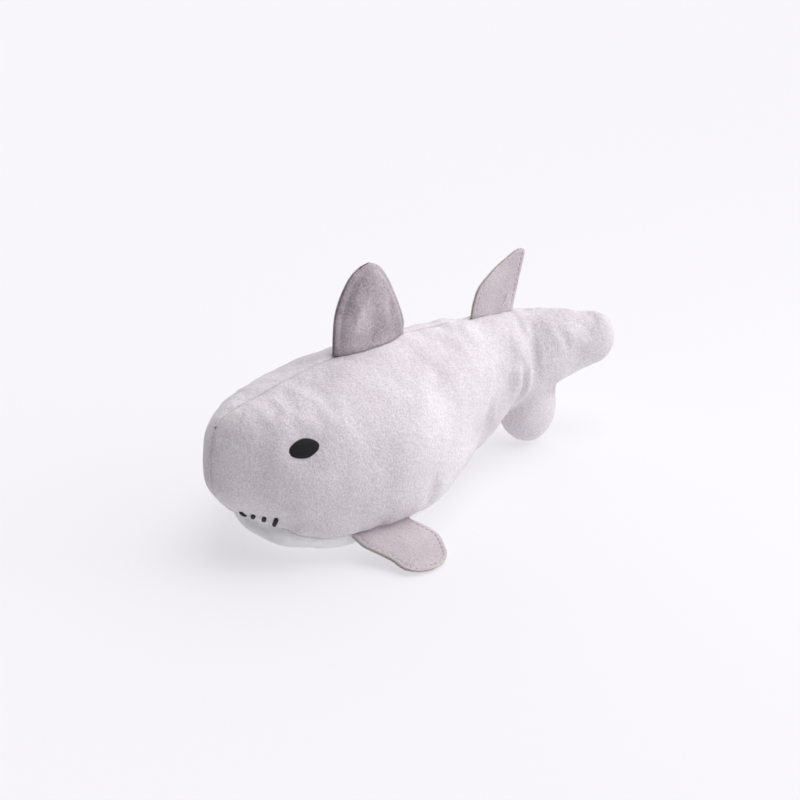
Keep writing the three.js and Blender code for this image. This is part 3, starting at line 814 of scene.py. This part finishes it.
# The outlines of the fins: front and rear edge against the distance from the joint's line.
FRONT_FIN = {
    "height": 34.8, "root": -0.9, "full": 4.9,
    "front": Profile((0, 19.8), (8, 19.5), (17, 18.2), (25, 14.4), (31, 9.6), (34, 4.2), (34.8, -0.2)),
    "rear": Profile((0, -19.4), (4, -19.8), (11, -17.6), (19, -14), (27.5, -9.4), (33, -4.6),
                    (34.8, -0.2))}
REAR_FIN = {
    "height": 28.4, "root": -1.4, "sway": 0.35, "crinkle": 0,
    "front": Profile((0, 15.2), (6, 14.6), (13, 12), (20.4, 3.4), (24.6, -3.8), (27.4, -9.2),
                     (28.4, -12.4)),
    "rear": Profile((0, -11.6), (12, -13.2), (20, -14.6), (26.4, -15.4), (28, -14.4), (28.4, -12.4))}
PECTORAL = {
    "height": 29.2, "root": -2.4, "sway": 0.5, "crinkle": 0.17, "droop": 17.2,
    "front": Profile((0, 14.6), (6, 13.8), (12, 10.4), (18, 7.5), (22, 6.8), (25.4, 5), (28, 0.4),
                     (29.2, -5.2)),
    "rear": Profile((0, -15), (4, -17.2), (8, -19.2), (13, -20.4), (20, -18.4), (25, -15.6),
                    (28, -10.8), (29.2, -5.2))}


class FinFrame:
    """A fin's own frame: along its root to the front, through the cloth, and away from the root."""

    def __init__(self, joint, side, drop):
        self.origin = np.array(joints[joint]["pos_m"]) / MM
        self.along = np.array(joints[joint]["axis"]) * side
        self.along /= np.linalg.norm(self.along)
        self.through = np.cross(drop, self.along)
        self.through /= np.linalg.norm(self.through)
        self.away = np.cross(self.along, self.through)

    def __call__(self, along, through, away):
        along, through, away = np.broadcast_arrays(along, through, away)
        return (self.origin + along[..., None] * self.along + through[..., None] * self.through
                + away[..., None] * self.away)


def fin_grid(fin, rows, columns, root, edge):
    """Places along and away over a fin's outline, drawn in from its edge; across runs front to rear."""
    share = np.sin(math.pi / 2 * np.linspace(0, 1, rows) ** 0.9)
    away = root + (fin["height"] - edge - root) * share
    even = np.linspace(0, 1, columns)
    across = (0.5 - 0.5 * np.cos(math.pi * even)) * 0.6 + even * 0.4
    front, rear = fin["front"](away), fin["rear"](away)
    middle = (front + rear) / 2
    front = np.maximum(front - edge, middle)
    rear = np.minimum(rear + edge, middle)
    along = front[:, None] + (rear - front)[:, None] * across[None, :]
    return along, away[:, None] + 0 * along, across[None, :] + 0 * along


def edge_distance(fin, along, away):
    """How far a place lies inside a fin's free edge."""
    heights = np.linspace(0, fin["height"], 60)
    outline = np.concatenate([np.stack([fin["front"](heights), heights], -1),
                              np.stack([fin["rear"](heights), heights], -1)[::-1]])
    return line_distance(np.stack([along, away], -1), outline)[0]


def shell(front_side, back_side, turned):
    """A closed sheet from the grids of its two sides; the faces of its cut edge come last."""
    rows, columns = front_side.shape[:2]
    count = rows * columns
    faces = grid_faces(rows, columns, turned=turned) + grid_faces(rows, columns, first=count,
                                                                  turned=not turned)
    rim = list(range(columns - 1))
    rim += [i * columns + columns - 1 for i in range(rows - 1)]
    rim += [(rows - 1) * columns + j for j in range(columns - 1, 0, -1)]
    rim += [i * columns for i in range(rows - 1, 0, -1)]
    cut = []
    for k, a in enumerate(rim):
        b = rim[(k + 1) % len(rim)]
        quad = (b, a, a + count, b + count)
        cut.append(quad[::-1] if turned else quad)
    points = np.concatenate([front_side.reshape(-1, 3), back_side.reshape(-1, 3)])
    return points, faces, cut


def stitches(line):
    """Short stitches along a line of points."""
    length, gap = STITCH["length"], STITCH["gap"]
    steps = np.linalg.norm(np.diff(line, axis=0), axis=1)
    reached = np.concatenate([[0], np.cumsum(steps)])
    parts = []
    at = gap
    while at + length < reached[-1]:
        places = at + length * np.linspace(0, 1, 4)
        path = np.stack([np.interp(places, reached, line[:, k]) for k in range(3)], -1)
        parts.append(tube(path, STITCH["radius"], 5))
        at += length + gap
    return joined(parts)


def fin_spot(along, away, through=0):
    """Places in a fin's own frame, for noise."""
    return np.stack([along, away, 0 * along + through], -1)


def fin_wave(fin, along, away, seed):
    """How far a flat fin waves and crinkles out of its plane, growing towards its free edge."""
    spot = fin_spot(along, away)
    grow = (np.maximum(away, 0) / fin["height"]) ** 1.3
    wave = fin["sway"] * grow * (lumps(spot, 15, seed) + 0.12 * lumps(spot, 6, seed + 3))
    fine = np.sin((away - 0.3 * along) * 2.6 + 1.3 * lumps(spot, 9, 5)) * (0.7 + 0.5 * lumps(spot, 6, 12))
    return wave + fin["crinkle"] * fine * np.clip(2.2 * away / fin["height"] - 0.75, 0, 1)


def flat_fin(fin, place, outer, seed, title, node_name):
    """One cloth layer of a flat fin, with its pale cut edge and its row of stitches."""
    sides = []
    for outside, edge in ((True, 0.1), (False, 0.25)):
        along, away, _ = fin_grid(fin, 54, 36, fin["root"], edge)
        inside = edge_distance(fin, along, away)
        soft = 0.3 * np.exp(-((inside / 0.8) ** 2))
        groove = 0.22 * np.exp(-(((inside - HEM) / HEM_WIDTH) ** 2))
        if outside:
            level = FIN_GAP + FIN_CLOTH - (soft + groove) + 0.04 * lumps(fin_spot(along, away), 3, seed + 21)
        else:
            level = FIN_GAP + 0.12 * soft
        sides.append(place(along, outer * level + fin_wave(fin, along, away, seed), away))
    points, faces, cut = shell(sides[0], sides[1], turned=outer > 0)
    slots = [0] * len(faces) + [1] * len(cut)
    heights = np.linspace(1.5, fin["height"] - HEM, 90)
    along = np.concatenate([fin["front"](heights) - HEM, fin["rear"](heights)[::-1] + HEM])
    away = np.concatenate([heights, heights[::-1]])
    through = outer * (FIN_GAP + FIN_CLOTH - STITCH["radius"]) + fin_wave(fin, along, away, seed)
    sewn = stitches(place(along, through, away))
    made = piece(title, points, faces + cut, [FLAT_GREY, GROUND], None, "fin_cloth", [node_name],
                 face_slots=slots)
    seam = piece(f"{title}_stitches", *sewn, [SEAM_THREAD], None, "fin_cloth")
    start = place(0.0, 0.0, 0.4)
    end = place(0.0, 0.0, 5.0)
    for each in (made, seam):
        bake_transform(each)
    wide = float(np.max(fin["front"](heights)) - np.min(fin["rear"](heights)))
    long = fin["height"] - fin["root"]
    area = float(np.mean(fin["front"](heights) - fin["rear"](heights))) * long


for side, name in SIDES:
    droop = math.radians(PECTORAL["droop"])
    place = FinFrame(f"{name}_pectoral_flap", side, np.array([0, side * math.cos(droop), -math.sin(droop)]))
    for outer, layer_name in ((-side, "upper"), (side, "lower")):
        flat_fin(PECTORAL, place, outer, 50 + side, f"{name}_pectoral_{layer_name}_cloth",
                 f"{name}_pectoral_fin_{layer_name}_layer")
place = FinFrame("rear_dorsal_fold", 1, np.array([0, 0, 1]))
for outer, name in SIDES:
    flat_fin(REAR_FIN, place, outer, 61, f"rear_dorsal_{name}_cloth",
             f"rear_dorsal_fin_{name}_layer")


def loose_thread(name, place, spots, body):
    """A cut end of white thread lying against a fin; spots are (along, through, away)."""
    spots = np.array(spots, float)
    fine = np.linspace(0, len(spots) - 1, 22)
    along, through, away = (np.interp(fine, range(len(spots)), spots[:, k]) for k in range(3))
    bow = 0.25 * np.sin(fine * 2.1)
    points, faces = tube(place(along + bow, through, away), 0.17, 6)
    piece(name, points, faces, [WHITE_THREAD], body, "white_plush")


loose_thread("rear_dorsal_thread", place,
             [(-6.8, 1.3, 8.5), (-5.9, 1.9, 6.9), (-4.9, 1.7, 4.7), (-3, 1.2, 2.3)], "rear_dorsal_fin")


# The relief of the front fin: a stitched crease inside its rim, a ridge behind its front edge, and
# hollows as (along, away, half length, half height, depth).
CREASE = {"inside": 1.9, "width": 0.8, "depth": 0.55}
RIDGE = {"along": 14.8, "lean": 0.2, "width": 2.6, "height": 0.8, "top": 30}
HOLLOWS = ((-9.5, 15, 3.2, 5, 1.9), (1, 15, 6, 11, 2.1))
ROOT_FLARE = 1.5          # how far its faces spread where they are sewn to the back


def front_fin_face(side):
    """One face of the padded front fin, in the fin's own frame."""
    fin = FRONT_FIN
    along, away, across = fin_grid(fin, 54, 46, fin["root"], 0)
    inside = edge_distance(fin, along, np.maximum(away, 0))
    full = fin["full"] * (0.62 + 0.38 * smooth_step(away / 11))
    full *= np.clip(1 - (np.maximum(away, 0) / fin["height"]) ** 4, 0, 1) ** 0.5
    pad = full * np.sin(math.pi * across) ** 0.62
    rim = 0.75 * (1 - np.exp(-inside / 0.5)) ** 0.5
    crease = CREASE["depth"] * np.exp(-(((inside - CREASE["inside"]) / CREASE["width"]) ** 2))
    crease *= np.clip(away / 5, 0, 1)
    spot = fin_spot(along, away, 40 * side)
    relief = 0.35 * lumps(spot, 11, 15) + 0.15 * lumps(spot, 4, 31)
    ridge = np.exp(-(((along - RIDGE["along"] + RIDGE["lean"] * away) / RIDGE["width"]) ** 2))
    relief += RIDGE["height"] * ridge * np.clip(away / 6, 0, 1) * np.clip((RIDGE["top"] - away) / 8, 0, 1)
    for middle, level, long, high, depth in HOLLOWS:
        relief -= depth * np.exp(-(((along - middle) / long) ** 2 + ((away - level) / high) ** 2))
    through = np.maximum(pad * np.clip(inside / 3.5, 0, 1) ** 0.5 + rim - crease
                         + relief * np.clip(inside / 4, 0, 1), 0.1)
    flare = ROOT_FLARE * np.exp(-np.maximum(away - fin["root"], 0) / 1.3)
    through += flare * np.sin(math.pi * across) ** 0.7
    return along, side * through, away


def front_fin():
    """The front fin: its two faces and the fibre between them."""
    place = FinFrame("front_dorsal_fold", 1, np.array([0, 0, 1]))
    start, end = place(0.0, 0.0, 0.2), place(0.0, 0.0, 8.0)
    for side, name in SIDES:
        grid = place(*front_fin_face(side))
        points, faces = grid.reshape(-1, 3), grid_faces(*grid.shape[:2], turned=side > 0)
        made = piece(f"front_dorsal_{name}_cloth", points, faces, [FIN_GREY], None, "fin_cloth",
                     [f"front_dorsal_fin_{name}_face"])
        thickened(made, FACE_CLOTH)
        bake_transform(made)
    fin = FRONT_FIN
    along, away, across = fin_grid(fin, 20, 16, 1.2, 3.6)
    half = np.maximum(fin["full"] * 0.55 * np.sin(math.pi * np.clip(across, 0.02, 0.98)) ** 0.7
                      * np.clip(1 - (away / fin["height"]) ** 4, 0.02, 1) ** 0.5, 0.1)
    half = half * (1 + 0.15 * lumps(fin_spot(along, away), 4, 8))
    points, faces, cut = shell(place(along, half, away), place(along, -half, away), turned=True)
    made = piece("front_dorsal_fibre", points, faces + cut, [FIBRE], None, "fibre_filling",
                 ["front_dorsal_fin_filling"])
    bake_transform(made)


front_fin()

# The camera stands where the photograph was taken from.
camera = placed("camera", bpy.data.cameras.new("camera"))
camera.data.lens = 85
camera.data.sensor_width = 36
camera.location = (0.5334, 0.5446, 0.3801)
camera.rotation_euler = aimed(-0.6346, -0.6571, -0.4067)
bpy.context.scene.camera = camera
bpy.context.scene.view_settings.view_transform = "Standard"


SKY = 0.77                # brightness of the room's soft light half-way round
SKY_FALL = 1.5            # how much of it is lost towards the front of the shark, and gained behind it
SKY_LEAST = 0.03          # what is always left
SUN = 0.85                # strength of the soft light from above
REAR_LIGHT = 0.36         # watts of the lamp behind the shark's left side
FLOOR_GLOW = 0.55         # keeps the floor as pale as in the photograph


def floor_material(tree, shader):
    """A plain pale floor."""
    fed(tree, shader, {"Base Color": (0.36, 0.357, 0.375, 1), "Emission Color": (0.99, 0.975, 1.0, 1),
                       "Emission Strength": FLOOR_GLOW, "Roughness": 0.9, "Specular IOR Level": 0.1})


def studio():
    """The floor, the light of the room and two lamps."""
    bpy.ops.mesh.primitive_plane_add(size=8)
    floor = bpy.context.object
    floor.name = "floor"
    floor.data.materials.append(material("floor", floor_material))
    world = bpy.data.worlds.new("world")
    world.use_nodes = True
    tree = world.node_tree
    toward = node(tree, "ShaderNodeTexCoord").outputs["Generated"]
    ahead = node(tree, "ShaderNodeSeparateXYZ", {"Vector": toward}).outputs["X"]
    falling = node(tree, "ShaderNodeMath", {0: ahead, 1: -SKY_FALL * SKY, 2: SKY}, operation="MULTIPLY_ADD")
    strength = node(tree, "ShaderNodeMath", {0: falling.outputs[0], 1: SKY_LEAST}, operation="MAXIMUM")
    fed(tree, tree.nodes["Background"], {"Color": (0.985, 0.98, 1.0, 1), "Strength": strength.outputs[0]})
    bpy.context.scene.world = world
    sun = placed("key", bpy.data.lights.new("key", "SUN"))
    sun.rotation_euler = aimed(0.12, -0.16, -0.97)
    sun.data.energy = SUN
    sun.data.angle = math.radians(40)
    sun.data.color = (1.0, 0.985, 0.97)
    lamp = placed("rear_light", bpy.data.lights.new("rear_light", "AREA"))
    lamp.location = (-0.3, 0.36, 0.26)
    lamp.rotation_euler = aimed(0.2, -0.34, -0.22)
    lamp.data.size = 0.25
    lamp.data.energy = REAR_LIGHT


studio()
